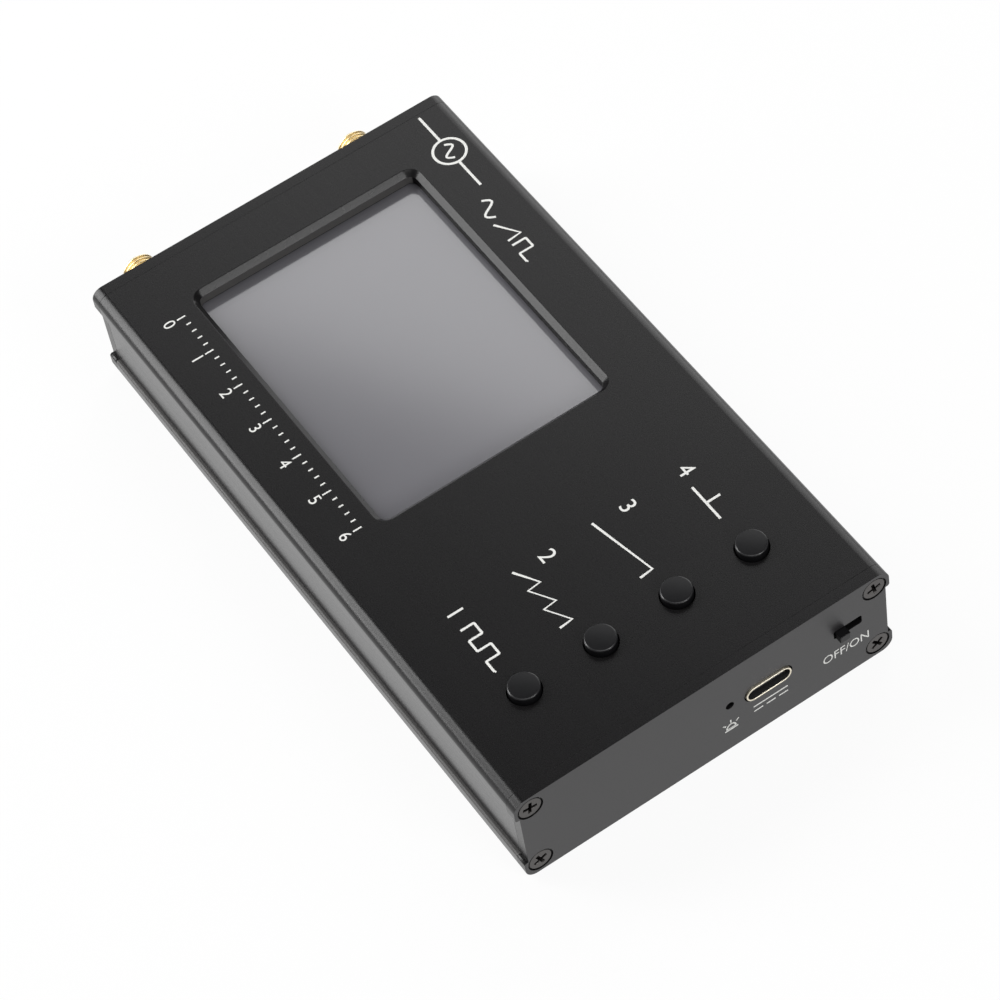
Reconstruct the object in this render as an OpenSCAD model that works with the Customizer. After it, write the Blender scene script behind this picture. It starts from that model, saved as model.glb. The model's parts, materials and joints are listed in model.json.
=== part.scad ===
// Hand-held signal generator: an extruded aluminium case closed by two screwed end plates, with a
// display, four push buttons, a USB-C socket, a charge lamp, a slide switch and two coaxial jacks.
// Millimetres. The origin is the centre of the base. +X runs from the jacks to the USB socket and
// +Z out of the display face.

/* [Case] */
// Length of the extrusion between the end plates
case_l = 128; // [124:1:150]
// Width over the side rails
case_w = 73.2; // [70:0.1:90]
// Height from the base to the display face
case_h = 21.7; // [21:0.1:30]
// Radius of the screw bosses in the corners, and how far their axes lie from the outer faces
boss_r = 3; // [2.9:0.1:3.6]
// Radius of the long outer edges
edge_r = 2.2; // [1.5:0.1:2.6]
// Height of the side rails along the base and the display face
side_rail_h = 4.4; // [4:0.1:6]
// Rounding of a side rail's edge towards the flank
step_r = 0.5; // [0.2:0.1:0.8]
// Depth of the flanks behind the side rails
flank_recess = 0.8; // [0.3:0.1:1]
// Wall under the display face
roof_t = 2.7; // [2:0.1:3.6]
// Wall of the base
floor_t = 2; // [1.5:0.1:3]
// Wall of the flanks
flank_t = 1.8; // [1.4:0.1:2.2]
// How far the board rails stand out from the flank wall
rail_w = 2; // [1:0.1:2.3]
// Height of the lower board rail
rail_t = 1.2; // [0.8:0.1:2]

/* [End plates and screws] */
// Thickness of an end plate
plate_t = 2.2; // [1.8:0.1:3]
// Thread diameter of the plate screws
screw_d = 2.5; // [2:0.1:2.8]
// Length of the plate screws, head included
screw_l = 8; // [6:0.5:12]
// Diameter of the countersunk heads
head_d = 4.2; // [4:0.1:4.6]
// Cylindrical land at the top of a head
head_land = 0.4; // [0.2:0.05:0.5]
// How far the heads lie below the plate's face
head_sink = 0.1; // [0.05:0.05:0.3]
// Width of one arm of the cross recess
cross_w = 0.6; // [0.4:0.05:0.8]
// Length of the cross recess, tip to tip
cross_l = 2.6; // [2:0.1:3.2]
// Depth of the cross recess
cross_depth = 0.9; // [0.5:0.1:1]

/* [Display] */
// Window length, along the case
window_l = 60.4; // [50:0.2:64]
// Window width, across the case
window_w = 45; // [36:0.2:48]
// Corner radius of the window
window_r = 1.5; // [0.8:0.1:3]
// From the rear end of the extrusion to the window
window_inset = 10.3; // [8:0.1:14]
// Width of the chamfer round the window's upper edge
window_chamfer = 1; // [0.2:0.1:1.2]
// Thickness of the gasket between the roof and the glass
gasket_t = 0.6; // [0.4:0.1:1.4]
// Width of the gasket's ring
gasket_w = 2; // [1:0.1:2.2]
// How far the gasket's inner edge lies back from the window's
gasket_setback = 0.4; // [0:0.1:0.5]
// Border of the display panel outside the window on three sides
panel_border = 2.8; // [2.8:0.1:4]
// Border of the display panel on the side of its flex
panel_ledge = 6; // [4:0.1:8]
// Thickness of the display glass
glass_t = 1.1; // [0.8:0.1:1.5]
// Thickness of the backlight with its tray
backlight_t = 1.6; // [1.2:0.1:2.2]
// Wall of the backlight's steel tray
tray_t = 0.3; // [0.2:0.05:0.5]
// Thickness of the foam strips under the display
pad_t = 1.1; // [0.5:0.1:1.4]
// Width of a foam strip
pad_w = 4; // [2:0.5:6]
// Width of the display's flex
flex_w = 20; // [12:1:30]
// Thickness of the display's flex
flex_t = 0.2; // [0.15:0.05:0.3]
// Free run of the flex from the display to its socket
flex_run = 6; // [5:0.5:9]

/* [Main board] */
// Thickness of the circuit board
board_t = 1.6; // [1:0.1:2]
// Flex socket size along the case
flex_socket_l = 4.2; // [3:0.1:6]
// Flex socket height
flex_socket_h = 1.9; // [1.5:0.1:2.4]

/* [Buttons] */
// Distance between neighbouring buttons
button_pitch = 14.9; // [11:0.1:16]
// How far the middle of the row lies off the case's axis, towards +Y
button_offset = -0.45; // [-2:0.05:2]
// From the front end of the extrusion to the buttons
button_inset = 14.9; // [10:0.1:18]
// Diameter of a cap
cap_d = 5.5; // [4.4:0.1:7]
// How far a cap stands above the display face
cap_proud = 1.4; // [1:0.1:4]
// Rounding of a cap's top edge
cap_edge_r = 0.35; // [0.1:0.05:0.6]
// How far the trapped flange stands out round a cap
cap_flange_w = 1.1; // [0.8:0.1:1.6]
// Thickness of the trapped flange
cap_flange_t = 1; // [0.7:0.05:1.1]
// How far the plunger reaches up into a cap
cap_socket = 0.4; // [0.2:0.1:1]
// Travel of a button
button_travel = 0.4; // [0.2:0.05:0.4]
// Side of a tactile switch
tact_w = 6.2; // [5.8:0.1:7]
// Diameter of the plunger
plunger_d = 3.4; // [2.6:0.1:3.8]

/* [Power switch] */
// From the side of the case to the middle of the switch's slot
switch_inset = 8.6; // [8.4:0.05:11]
// Width of the knob
knob_w = 2; // [1.4:0.1:2.4]
// Height of the knob
knob_t = 1.6; // [1:0.1:2]
// How far the knob's middle lies above the carriage's
knob_rise = 0.75; // [0.4:0.05:0.8]
// How far the knob stands out of the plate
knob_proud = 1.5; // [0.8:0.1:3]
// Travel from OFF to ON
switch_travel = 3; // [1.5:0.1:3]
// Length of the sliding carriage
carriage_l = 3.4; // [2.6:0.1:3.6]
// Height of the sliding carriage
carriage_t = 1.1; // [0.8:0.1:1.6]
// Depth of the switch, along the case
switch_depth = 3.4; // [2.8:0.1:5]

/* [USB socket] */
// Middle of the socket across the case
usb_y = 12; // [9:0.1:14]
// Width of the metal shell
usb_w = 8.94; // [8.5:0.02:9.5]
// Height of the metal shell
usb_h = 3.26; // [2.8:0.02:3.6]
// Length of the metal shell
usb_l = 7.3; // [6:0.1:9]
// Wall of the metal shell
usb_wall = 0.3; // [0.2:0.05:0.4]
// How far the shell's mouth stands out of the plate's face
usb_proud = 0.3; // [0.1:0.1:1]
// Width of the contact tongue
tongue_w = 6.7; // [5.5:0.1:7]
// Thickness of the contact tongue
tongue_t = 0.7; // [0.5:0.05:0.9]

/* [Charge lamp] */
// Middle of the lamp across the case
lamp_y = 4.4; // [2.5:0.1:5]
// Diameter of the hole in the plate
lamp_hole_d = 1.6; // [1:0.1:2]
// Height of the lamp's body
lamp_h = 2; // [1.6:0.1:2.4]
// Width of the lamp's body
lamp_w = 3; // [2.4:0.1:3.2]

/* [Coaxial jacks] */
// From the left side of the case to the left jack
jack_left_inset = 11.2; // [10.5:0.1:22]
// From the right side of the case to the right jack
jack_right_inset = 16.7; // [10.5:0.1:22]
// Thread diameter
thread_d = 6.35; // [6:0.05:6.6]
// Length of thread outside the rear plate
thread_l = 5.4; // [4:0.1:9]
// Side of the square flange inside the plate
jack_flange_w = 6.35; // [6:0.05:6.6]
// Thickness of the square flange
jack_flange_t = 1.6; // [1.2:0.1:2.4]
// Diameter of the mouth
mouth_d = 4.6; // [4.3:0.1:5]
// Depth of the mouth
mouth_depth = 1.9; // [1.4:0.1:2.4]
// Diameter of the white insulator
insulator_d = 4.1; // [3.6:0.1:4.2]
// Diameter of the centre contact
contact_d = 1.27; // [1:0.01:1.5]
// Diameter of the pin hole in the centre contact
contact_hole_d = 0.92; // [0.7:0.01:0.95]
// Diameter of the contact's tail on the board
tail_d = 0.9; // [0.6:0.05:0.95]
// Length of the solder legs on the board
leg_l = 4.8; // [3:0.1:6]
// Side of a solder leg
leg_w = 1; // [0.8:0.05:1.1]

/* [Battery and shield] */
// From the rear end of the extrusion to the battery
battery_inset = 20; // [8:1:24]
// Length of the battery
battery_l = 70; // [50:1:74]
// Width of the battery
battery_w = 50; // [36:1:52]
// Thickness of the adhesive pad under the battery
battery_pad_t = 0.5; // [0.3:0.1:1]
// Length of the seal terrace at the battery's lead end
terrace_l = 3; // [2:0.1:5]
// Diameter of a battery lead
lead_d = 1.2; // [0.8:0.1:1.5]
// Distance between the two leads
lead_pitch = 2; // [1.7:0.1:2.2]
// Straight distance from the battery to its plug
lead_run = 5; // [4:0.5:6]
// Shield size along the case
shield_l = 23; // [16:1:24]
// Shield size across the case
shield_w = 38; // [24:1:44]
// Shield height
shield_h = 3.2; // [2:0.1:4]
// Thickness of the shield's sheet
shield_t = 0.3; // [0.2:0.05:0.4]

/* [Hidden] */
$fn = 64;

// Overcut of a hole past the face that it opens in
over = 1;
// Clearance round a piece that is pressed or soldered in place
seat_gap = 0.02;
// Clearance round a sliding plunger
slide_gap = 0.1;
// Clearance round a threaded shank in its port
port_gap = 0.05;
// Clearance round a shank in an end plate
shank_gap = 0.2;
// Clearance round a screw head
head_gap = 0.3;
// Clearance of the board in its grooves, sideways and above
board_gap = 0.15;
// Clearance between the board and the front plate
board_end_gap = 0.2;
// Clearance of a cap in the roof
cap_gap = 0.25;
// Clearance between a cap's flange and the roof
flange_gap = 0.3;
// Clearance left between a pressed cap and its switch
press_gap = 0.2;
// Clearance between neighbours under the board
part_gap = 2;
// Clearance of the knob in its slot, along its travel and across it
knob_end_gap = 0.3;
knob_side_gap = 0.2;
// Clearance of the USB shell in its cut-out
usb_gap = 0.3;
// Clearance of the lamp's lens in its hole
lens_gap = 0.15;
// Clearance of a jack's thread in the rear plate
jack_gap = 0.2;

// Case section
boss_y = case_w / 2 - boss_r;
flank_y = case_w / 2 - flank_recess;
inner_y = flank_y - flank_t;
roof_z = case_h - roof_t;
case_end = case_l / 2;
plate_face = case_end + plate_t;
boss_places = [for (sy = [-1, 1], z = [boss_r, case_h - boss_r]) [sy * boss_y, z]];

// Screws: the cone is a right angle, so its height equals its step in radius
head_cone_h = (head_d - screw_d) / 2;
cross_turns = [24, -8, 40, 12];

// Display stack, hung from the roof
window_x = -case_end + window_inset + window_l / 2;
glass_top = roof_z - gasket_t;
glass_bottom = glass_top - glass_t;
tray_bottom = glass_bottom - backlight_t;
panel_x0 = window_x - window_l / 2 - panel_border;
panel_x1 = window_x + window_l / 2 + panel_ledge;
panel_x = (panel_x0 + panel_x1) / 2;
panel_l = panel_x1 - panel_x0;
panel_w = window_w + 2 * panel_border;
panel_r = 0.8;
flex_socket_x = panel_x1 + flex_run;
flex_socket_side = 2;
flex_straight = 1.5;
flex_inside = 1.5;

// Main board
board_top = tray_bottom - pad_t;
board_bottom = board_top - board_t;
board_x0 = -case_end + jack_flange_t;
board_x1 = case_end - board_end_gap;
board_w = 2 * (inner_y - board_gap);

// Buttons, hung from the roof: the switch on the board is as tall as a pressed cap leaves room for
button_x = case_end - button_inset;
button_y = [for (k = [1:4]) (k - 2.5) * button_pitch + button_offset];
cover_t = 0.3;
tact_floor_t = 0.5;
dome_h = 0.6;
dome_t = 0.15;
dome_d = 4.4;
well_d = dome_d + 2 * slide_gap;
plunger_foot_d = dome_d - 2 * slide_gap;
plunger_foot_t = 0.5;
plunger_nub_d = 1.5;
tact_corner_r = 0.5;
cap_bottom = roof_z - flange_gap - cap_flange_t;
cap_top = case_h + cap_proud;
tact_top = cap_bottom - button_travel - press_gap;
plunger_top = cap_bottom + cap_socket;
dome_top = board_top + tact_floor_t + dome_h;

// Power switch, hung under the board
switch_y = case_w / 2 - switch_inset;
switch_base_t = 0.3;
switch_cover_t = 0.25;
switch_play = 0.05;
switch_setback = 0.5;
switch_front = case_end - switch_setback;
switch_x0 = switch_front - switch_depth;
switch_base_z = board_bottom - switch_base_t;
carriage_z1 = switch_base_z - switch_play;
carriage_z0 = carriage_z1 - carriage_t;
switch_z0 = carriage_z0 - switch_play - switch_cover_t;
slot_l = knob_w + switch_travel + 2 * knob_end_gap;
slot_h = knob_t + 2 * knob_side_gap;
slot_r = 0.4;
knob_z = (carriage_z0 + carriage_z1) / 2 + knob_rise;
knob_z0 = knob_z - knob_t / 2;
knob_y = switch_y - switch_travel / 2;
knob_tip = plate_face + knob_proud;
carriage_x0 = switch_x0 + switch_cover_t + switch_play;
carriage_x1 = switch_front - switch_cover_t - switch_play;
carriage_y0 = knob_y - carriage_l / 2;
switch_l = carriage_l + switch_travel + 2 * (knob_end_gap + switch_cover_t);
contact_clip_t = 0.15;
contact_clip_inset = 0.5;

// USB socket, hung under the board
usb_z = board_bottom - usb_h / 2;
usb_mouth = plate_face + usb_proud;
usb_back_t = 2.2;
tongue_setback = 0.8;

// Charge lamp, hung under the board
lamp_z = board_bottom - lamp_h / 2;
lamp_depth = 1.5;
lamp_x1 = case_end - board_end_gap;
lens_d = lamp_hole_d - 2 * lens_gap;
lens_l = 0.5;

// Coaxial jacks: the tail rests on the board's top, the flange on the rear plate
jack_z = board_top + tail_d / 2;
jack_tip = plate_face + thread_l;
jack_tip_chamfer = 0.3;
neck_relief = 0.45;
jack_left_y = jack_left_inset - case_w / 2;
jack_right_y = case_w / 2 - jack_right_inset;
jack_places = [jack_left_y, jack_right_y];
leg_y = jack_flange_w / 2 - leg_w / 2;
insulator_tip = jack_tip - mouth_depth;
contact_hole_l = 3;

// Shield, hung under the board beside the jacks
shield_x0 = board_x0 + leg_l + part_gap;
shield_x1 = shield_x0 + shield_l;
shield_x = (shield_x0 + shield_x1) / 2;
shield_skirt = 1.2;

// Chips under the board: length, width and height, and their places
synthesiser_size = [6, 6, 0.9];
synthesiser_y = -6.3;
oscillator_size = [3.2, 5, 1.2];
oscillator_y = 6.3;
microcontroller_size = [10, 10, 1.4];
charger_size = [5, 4, 1.2];
charger_inset = 12;
inductor_size = [4, 4, 2];
inductor_y = -6;
charger_x = case_end - charger_inset;

// Battery, on the base under the shield and all else that hangs from the board
battery_gap = 0.6;
battery_x0 = -case_end + battery_inset;
battery_x1 = battery_x0 + battery_l;
battery_x = (battery_x0 + battery_x1) / 2;
battery_z0 = floor_t + battery_pad_t;
battery_t = board_bottom - shield_h - shield_t - battery_gap - battery_z0;
battery_r = 2;
terrace_t = 0.8;
lead_z0 = battery_z0 + battery_t / 2;
lead_straight = 1.25;
plug_y = -15;
plug_l = 4;
plug_margin = 0.4;
plug_w = 2 * (lead_pitch + plug_margin);
plug_h = 2.4;
plug_out = 1;
socket_wall = 0.6;
socket_l = 4.2;
socket_w = plug_w + 2 * (socket_wall + slide_gap);
socket_h = plug_h + socket_wall + 2 * slide_gap;
plug_x0 = battery_x1 + terrace_l + lead_run;
plug_z = board_bottom - slide_gap - plug_h / 2;

// Colours
case_black = [0.13, 0.13, 0.14];
plate_grey = [0.2, 0.2, 0.21];
screw_grey = [0.16, 0.16, 0.17];
plastic_black = [0.05, 0.05, 0.06];
steel = [0.75, 0.76, 0.78];
gold = [0.85, 0.66, 0.28];
board_green = [0.05, 0.25, 0.14];

// Rounded rectangle about the origin
module rounded_rect(l, w, r) {
    square([l - 2 * r, w], center = true);
    square([l, w - 2 * r], center = true);
    for (sx = [-1, 1], sy = [-1, 1]) translate([sx * (l / 2 - r), sy * (w / 2 - r)]) circle(r);
}

// Rounded rectangle about the origin that widens at 45 degrees as it rises from z = 0
module flared_rect(l, w, r, h) {
    for (sx = [-1, 1], sy = [-1, 1]) translate([sx * (l / 2 - r), sy * (w / 2 - r), 0])
        cylinder(r1 = r, r2 = r + h, h = h);
    translate([0, w / 2 - r, 0]) rotate([90, 0, 0]) linear_extrude(height = w - 2 * r)
        polygon([[-l / 2, 0], [l / 2, 0], [l / 2 + h, h], [-l / 2 - h, h]]);
    translate([r - l / 2, 0, 0]) rotate([90, 0, 90]) linear_extrude(height = l - 2 * r)
        polygon([[-w / 2, 0], [w / 2, 0], [w / 2 + h, h], [-w / 2 - h, h]]);
}

// Slot with round ends, about the origin
module slot_shape(l, h) {
    square([l - h, h], center = true);
    for (s = [-1, 1]) translate([s * (l - h) / 2, 0]) circle(d = h);
}

// Takes a drawing in Y and Z and extrudes it along +X from x
module along_x(x, l) {
    translate([x, 0, 0]) rotate([90, 0, 90]) linear_extrude(height = l) children();
}

// A block given by its lowest corner and its size
module block(corner, size) {
    translate(corner) cube(size);
}

module screw_bosses() {
    for (p = boss_places) translate(p) circle(boss_r);
}

// Base part of the outline, as wide as the case: its ends are the side rails
module rail_band() {
    half_w = case_w / 2;
    translate([edge_r - half_w, 0]) square([case_w - 2 * edge_r, side_rail_h]);
    translate([-half_w, edge_r]) square([case_w, side_rail_h - edge_r - step_r]);
    translate([step_r - half_w, edge_r]) square([case_w - 2 * step_r, side_rail_h - edge_r]);
    for (side = [-1, 1]) {
        translate([side * (half_w - edge_r), edge_r]) circle(edge_r);
        translate([side * (half_w - step_r), side_rail_h - step_r]) circle(step_r);
    }
}

// Outline that the extrusion and both end plates share
module outer_section() {
    rail_band();
    translate([0, case_h]) mirror([0, 1]) rail_band();
    translate([-flank_y, edge_r]) square([2 * flank_y, case_h - 2 * edge_r]);
}

// Rails on both flanks: the board rests on the lower one, and the upper one joins the roof
module board_rails() {
    upper_z0 = board_top + board_gap;
    for (side = [0, 1]) mirror([side, 0]) translate([inner_y - rail_w, 0]) {
        translate([0, board_bottom - rail_t]) square([rail_w, rail_t]);
        translate([0, upper_z0]) square([rail_w, roof_z - upper_z0]);
    }
}

module case_section() {
    difference() {
        outer_section();
        difference() {
            translate([-inner_y, floor_t]) square([2 * inner_y, roof_z - floor_t]);
            screw_bosses();
            board_rails();
        }
        for (p = boss_places) translate(p) circle(screw_d / 2 + port_gap);
    }
}

module case_shell() {
    color(case_black) difference() {
        along_x(-case_end, case_l) case_section();
        translate([window_x, 0, roof_z - over])
            linear_extrude(height = roof_t + 2 * over) rounded_rect(window_l, window_w, window_r);
        translate([window_x, 0, case_h - window_chamfer])
            flared_rect(window_l, window_w, window_r, window_chamfer + over);
        for (y = button_y) translate([button_x, y, roof_z - over])
            cylinder(r = cap_d / 2 + cap_gap, h = roof_t + 2 * over);
    }
}

// Clearance hole, conical seat and counterbore of one screw, drawn up to the plate's face at z = 0
module countersink() {
    shank_r = screw_d / 2 + shank_gap;
    head_r = head_d / 2;
    bore_h = head_sink + head_land;
    seat_h = head_r - shank_r;
    translate([0, 0, -plate_t - over]) cylinder(r = shank_r, h = plate_t + 2 * over);
    translate([0, 0, -bore_h - seat_h]) cylinder(r1 = shank_r, r2 = head_r, h = seat_h);
    translate([0, 0, -bore_h]) cylinder(r = head_r + head_gap, h = bore_h + over);
}

// Puts its children, drawn along +Z, at the four screws of the plate at end +1 or -1
module at_screws(end) {
    for (k = [0:3]) translate([end * plate_face, boss_places[k][0], boss_places[k][1]])
        rotate([0, end * 90, 0]) rotate(cross_turns[k]) children();
}

module front_plate() {
    color(plate_grey) difference() {
        along_x(case_end, plate_t) outer_section();
        at_screws(1) countersink();
        along_x(case_end - over, plate_t + 2 * over) {
            translate([usb_y, usb_z]) slot_shape(usb_w + 2 * usb_gap, usb_h + 2 * usb_gap);
            translate([lamp_y, lamp_z]) circle(d = lamp_hole_d);
            translate([switch_y, knob_z]) rounded_rect(slot_l, slot_h, slot_r);
        }
    }
}

module rear_plate() {
    color(plate_grey) difference() {
        along_x(-plate_face, plate_t) outer_section();
        at_screws(-1) countersink();
        along_x(-plate_face - over, plate_t + 2 * over)
            for (y = jack_places) translate([y, jack_z]) circle(thread_d / 2 + jack_gap);
    }
}

// Countersunk screw with a cross recess, its head's face at z = 0
module plate_screw() {
    head_r = head_d / 2;
    shank_r = screw_d / 2;
    shank_z = -head_land - head_cone_h;
    difference() {
        rotate_extrude() polygon([
            [0, -screw_l], [shank_r, -screw_l], [shank_r, shank_z],
            [head_r, -head_land], [head_r, 0], [0, 0]
        ]);
        for (turn = [0, 90]) rotate(turn)
            block([-cross_l / 2, -cross_w / 2, -cross_depth], [cross_l, cross_w, cross_depth + over]);
    }
}

module front_plate_screws() {
    color(screw_grey) at_screws(1) translate([0, 0, -head_sink]) plate_screw();
}

module rear_plate_screws() {
    color(screw_grey) at_screws(-1) translate([0, 0, -head_sink]) plate_screw();
}

module display_gasket() {
    inner = 2 * gasket_setback;
    outer = inner + 2 * gasket_w;
    color(plastic_black) translate([window_x, 0, glass_top]) linear_extrude(height = gasket_t)
        difference() {
            rounded_rect(window_l + outer, window_w + outer, window_r);
            rounded_rect(window_l + inner, window_w + inner, window_r);
        }
}

module display_glass() {
    color([0.42, 0.42, 0.45]) translate([panel_x, 0, glass_bottom])
        linear_extrude(height = glass_t) rounded_rect(panel_l, panel_w, panel_r);
}

// Steel tray, open towards the glass
module display_tray() {
    inset = 2 * tray_t;
    color(steel) translate([panel_x, 0, tray_bottom]) difference() {
        linear_extrude(height = backlight_t) rounded_rect(panel_l, panel_w, panel_r);
        translate([0, 0, tray_t]) linear_extrude(height = backlight_t)
            square([panel_l - inset, panel_w - inset], center = true);
    }
}

// Light guide that fills the tray
module display_backlight() {
    inset = 2 * (tray_t + seat_gap);
    color("white") translate([panel_x, 0, tray_bottom + tray_t])
        linear_extrude(height = backlight_t - tray_t)
            square([panel_l - inset, panel_w - inset], center = true);
}

module display_pad() {
    color([0.2, 0.2, 0.2]) for (sy = [-1, 1])
        translate([panel_x, sy * (panel_w - pad_w) / 2, board_top + pad_t / 2])
            cube([panel_l, pad_w, pad_t], center = true);
}

// Flex with two gentle bends, from the tray's end down into its socket
module display_flex() {
    high = glass_bottom - 2 * flex_t;
    low = board_top + (flex_socket_h - flex_t) / 2;
    path = [
        [panel_x1, high], [panel_x1 + flex_straight, high],
        [flex_socket_x - flex_straight, low], [flex_socket_x + flex_inside, low]
    ];
    back = [for (k = [3:-1:0]) path[k] + [0, flex_t]];
    color([0.6, 0.35, 0.1]) translate([0, flex_w / 2, 0]) rotate([90, 0, 0])
        linear_extrude(height = flex_w) polygon(concat(path, back));
}

module flex_socket() {
    mouth_h = flex_t + 2 * seat_gap;
    wide = flex_w + 2 * flex_socket_side;
    color([0.85, 0.82, 0.75]) difference() {
        block([flex_socket_x, -wide / 2, board_top], [flex_socket_l, wide, flex_socket_h]);
        block(
            [flex_socket_x - over, -flex_w / 2 - seat_gap, board_top + (flex_socket_h - mouth_h) / 2],
            [flex_inside + over + seat_gap, flex_w + 2 * seat_gap, mouth_h]
        );
    }
}

module main_board() {
    color(board_green)
        block([board_x0, -board_w / 2, board_bottom], [board_x1 - board_x0, board_w, board_t]);
}

// Round cap with a flange trapped under the roof and a socket for the plunger
module button_cap(k) {
    cap_r = cap_d / 2;
    stem_h = cap_top - cap_bottom;
    color(plastic_black) translate([button_x, button_y[k - 1], cap_bottom]) difference() {
        rotate_extrude() {
            square([cap_r + cap_flange_w, cap_flange_t]);
            square([cap_r, stem_h - cap_edge_r]);
            square([cap_r - cap_edge_r, stem_h]);
            translate([cap_r - cap_edge_r, stem_h - cap_edge_r]) circle(cap_edge_r);
        }
        translate([0, 0, -over]) cylinder(r = plunger_d / 2 + slide_gap, h = cap_socket + over);
    }
}

// Plunger: a stem up to the cap, a foot trapped under the cover and a nub on the dome
module tact_plunger(k) {
    foot_top = tact_top - cover_t - slide_gap;
    foot_bottom = foot_top - plunger_foot_t;
    color([0.1, 0.1, 0.1]) translate([button_x, button_y[k - 1], 0]) rotate_extrude() {
        translate([0, foot_bottom]) square([plunger_d / 2, plunger_top - foot_bottom]);
        translate([0, foot_bottom]) square([plunger_foot_d / 2, plunger_foot_t]);
        translate([0, dome_top + seat_gap]) square([plunger_nub_d / 2, foot_top - dome_top - seat_gap]);
    }
}

// Snap dome: a shallow cap of a sphere of even thickness
module tact_dome(k) {
    rise = dome_h - dome_t;
    sphere_r = (pow(dome_d / 2, 2) + pow(rise, 2)) / (2 * rise);
    color(steel) translate([button_x, button_y[k - 1], dome_top - dome_h]) rotate_extrude()
        intersection() {
            translate([0, rise - sphere_r]) difference() {
                circle(sphere_r + dome_t);
                circle(sphere_r);
            }
            square([dome_d / 2, dome_h]);
        }
}

module tact_base(k) {
    base_h = tact_top - cover_t - board_top;
    color([0.12, 0.12, 0.12]) translate([button_x, button_y[k - 1], board_top]) difference() {
        linear_extrude(height = base_h) rounded_rect(tact_w, tact_w, tact_corner_r);
        translate([0, 0, tact_floor_t]) cylinder(d = well_d, h = base_h);
    }
}

module tact_cover(k) {
    color(steel) translate([button_x, button_y[k - 1], tact_top - cover_t])
        linear_extrude(height = cover_t) difference() {
            rounded_rect(tact_w, tact_w, tact_corner_r);
            circle(plunger_d / 2 + slide_gap);
        }
}

module power_switch_base() {
    corner = [switch_x0, switch_y - switch_l / 2, switch_base_z];
    color([0.15, 0.15, 0.15]) block(corner, [switch_depth, switch_l, switch_base_t]);
}

// Folded cover under the carriage, with a front slot for the knob
module power_switch_cover() {
    wall = switch_cover_t;
    cover_h = switch_base_z - switch_z0;
    color(steel) difference() {
        block([switch_x0, switch_y - switch_l / 2, switch_z0], [switch_depth, switch_l, cover_h]);
        block(
            [switch_x0 + wall, switch_y - switch_l / 2 + wall, switch_z0 + wall],
            [switch_depth - 2 * wall, switch_l - 2 * wall, cover_h]
        );
        block(
            [switch_front - wall - over, switch_y - slot_l / 2, switch_z0 + wall],
            [wall + 2 * over, slot_l, cover_h]
        );
    }
}

// Carriage, the arm that leads out under the board, and the knob that reaches through the front plate
module power_knob() {
    depth = carriage_x1 - carriage_x0;
    inset = contact_clip_inset;
    color(plastic_black) difference() {
        union() {
            block([carriage_x0, carriage_y0, carriage_z0], [depth, carriage_l, carriage_t]);
            block(
                [carriage_x0, knob_y - knob_w / 2, knob_z0],
                [knob_tip - carriage_x0, knob_w, carriage_z1 - knob_z0]
            );
            block([case_end, knob_y - knob_w / 2, knob_z0], [knob_tip - case_end, knob_w, knob_t]);
        }
        block(
            [carriage_x0 + inset, carriage_y0 + inset, carriage_z1 - contact_clip_t],
            [depth - 2 * inset, carriage_l - 2 * inset, contact_clip_t + over]
        );
    }
}

// Sliding contact clip in the carriage's pocket
module power_contact() {
    depth = carriage_x1 - carriage_x0;
    inset = contact_clip_inset + seat_gap;
    color(gold) block(
        [carriage_x0 + inset, carriage_y0 + inset, carriage_z1 - contact_clip_t],
        [depth - 2 * inset, carriage_l - 2 * inset, contact_clip_t]
    );
}

module usb_shell() {
    color(steel) along_x(usb_mouth - usb_l, usb_l) translate([usb_y, usb_z]) difference() {
        slot_shape(usb_w, usb_h);
        slot_shape(usb_w - 2 * usb_wall, usb_h - 2 * usb_wall);
    }
}

// Moulded block that closes the shell's back, with the contact tongue
module usb_tongue() {
    fit = 2 * (usb_wall + seat_gap);
    color(plastic_black) {
        along_x(usb_mouth - usb_l, usb_back_t)
            translate([usb_y, usb_z]) slot_shape(usb_w - fit, usb_h - fit);
        along_x(usb_mouth - usb_l, usb_l - tongue_setback)
            translate([usb_y, usb_z]) square([tongue_w, tongue_t], center = true);
    }
}

module charge_lamp_body() {
    corner = [lamp_x1 - lamp_depth, lamp_y - lamp_w / 2, lamp_z - lamp_h / 2];
    color("white") block(corner, [lamp_depth, lamp_w, lamp_h]);
}

module charge_lamp_lens() {
    color([0.7, 0.75, 0.72]) along_x(lamp_x1, lens_l) translate([lamp_y, lamp_z]) circle(d = lens_d);
}

// Edge-mounted jack: threaded barrel with a relieved neck in the rear plate, square flange and
// four legs that straddle the board
module rf_jack(y) {
    barrel_l = plate_t + thread_l;
    thread_r = thread_d / 2;
    neck_r = thread_r - neck_relief;
    bore_r = insulator_d / 2 + seat_gap;
    color(gold) translate([0, y, 0]) difference() {
        union() {
            translate([-case_end, 0, jack_z]) rotate([0, -90, 0]) rotate_extrude() polygon([
                [0, 0], [neck_r, 0], [neck_r, plate_t], [thread_r, plate_t],
                [thread_r, barrel_l - jack_tip_chamfer],
                [thread_r - jack_tip_chamfer, barrel_l], [0, barrel_l]
            ]);
            block(
                [-case_end, -jack_flange_w / 2, jack_z - jack_flange_w / 2],
                [jack_flange_t, jack_flange_w, jack_flange_w]
            );
            for (sy = [-1, 1], z = [board_top, board_bottom - leg_w])
                block([-case_end, sy * leg_y - leg_w / 2, z], [jack_flange_t + leg_l, leg_w, leg_w]);
        }
        translate([board_x0 + over, 0, jack_z]) rotate([0, -90, 0]) cylinder(r = bore_r, h = case_l);
        translate([-insulator_tip, 0, jack_z]) rotate([0, -90, 0])
            cylinder(d = mouth_d, h = mouth_depth + over);
    }
}

module rf_jack_left() {
    rf_jack(jack_left_y);
}

module rf_jack_right() {
    rf_jack(jack_right_y);
}

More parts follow.
